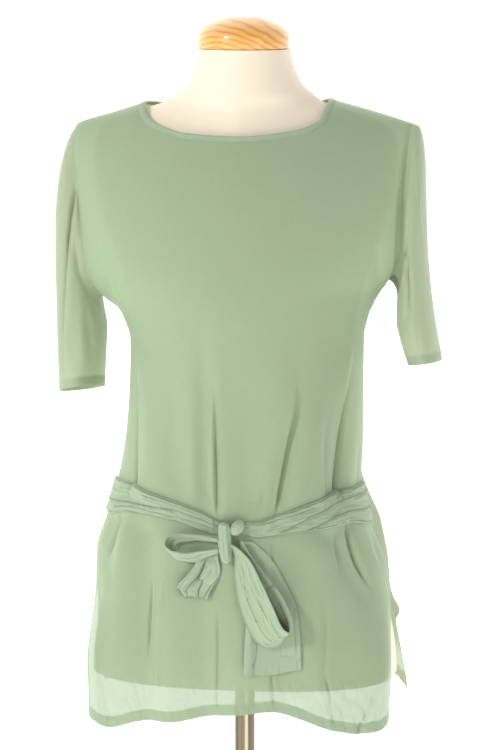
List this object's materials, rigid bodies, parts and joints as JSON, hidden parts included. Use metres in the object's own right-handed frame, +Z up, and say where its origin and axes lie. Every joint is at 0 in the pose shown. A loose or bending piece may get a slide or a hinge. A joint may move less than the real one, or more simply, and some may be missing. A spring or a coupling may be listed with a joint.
{
  "type": "blouse on a dress form",
  "caption": "Sage-green half-sleeve A-line tunic blouse, tied at the waist in a knotted bow, on a limbless dress form with a turned neck cap, a pole and a round foot.",
  "frame": {"origin": "middle of the foot's flat underside, on the form's axis", "axes": "+Z up along the form's pole; the blouse's front faces -Y; +X is to the right of someone who looks at the front"},
  "size_m": [0.4737, 0.3359, 1.4485],
  "materials": {
    "front_cloth": "thin matt woven crepe, sage green",
    "jersey": "fine matt jersey, sage green",
    "tie_cloth": "matt woven crepe, sage green",
    "form_cover": "smooth cream cotton jersey stretched over the form",
    "pine": "honey-coloured varnished pine",
    "steel": "brushed steel"
  },
  "bodies": {
    "root": {"front_panel": "front_cloth", "back_panel": "jersey", "sleeve_left": "jersey", "sleeve_right": "jersey", "neck_binding": "front_cloth", "tie_left": "tie_cloth", "tie_right": "tie_cloth", "tail_left": "tie_cloth", "tail_right": "tie_cloth", "loop_left": "tie_cloth", "loop_right": "tie_cloth", "knot_wrap": "tie_cloth", "knot_top": "tie_cloth", "form_body": "form_cover", "neck_cap": "pine", "pole": "steel", "foot": "steel"}
  },
  "joints": []
}
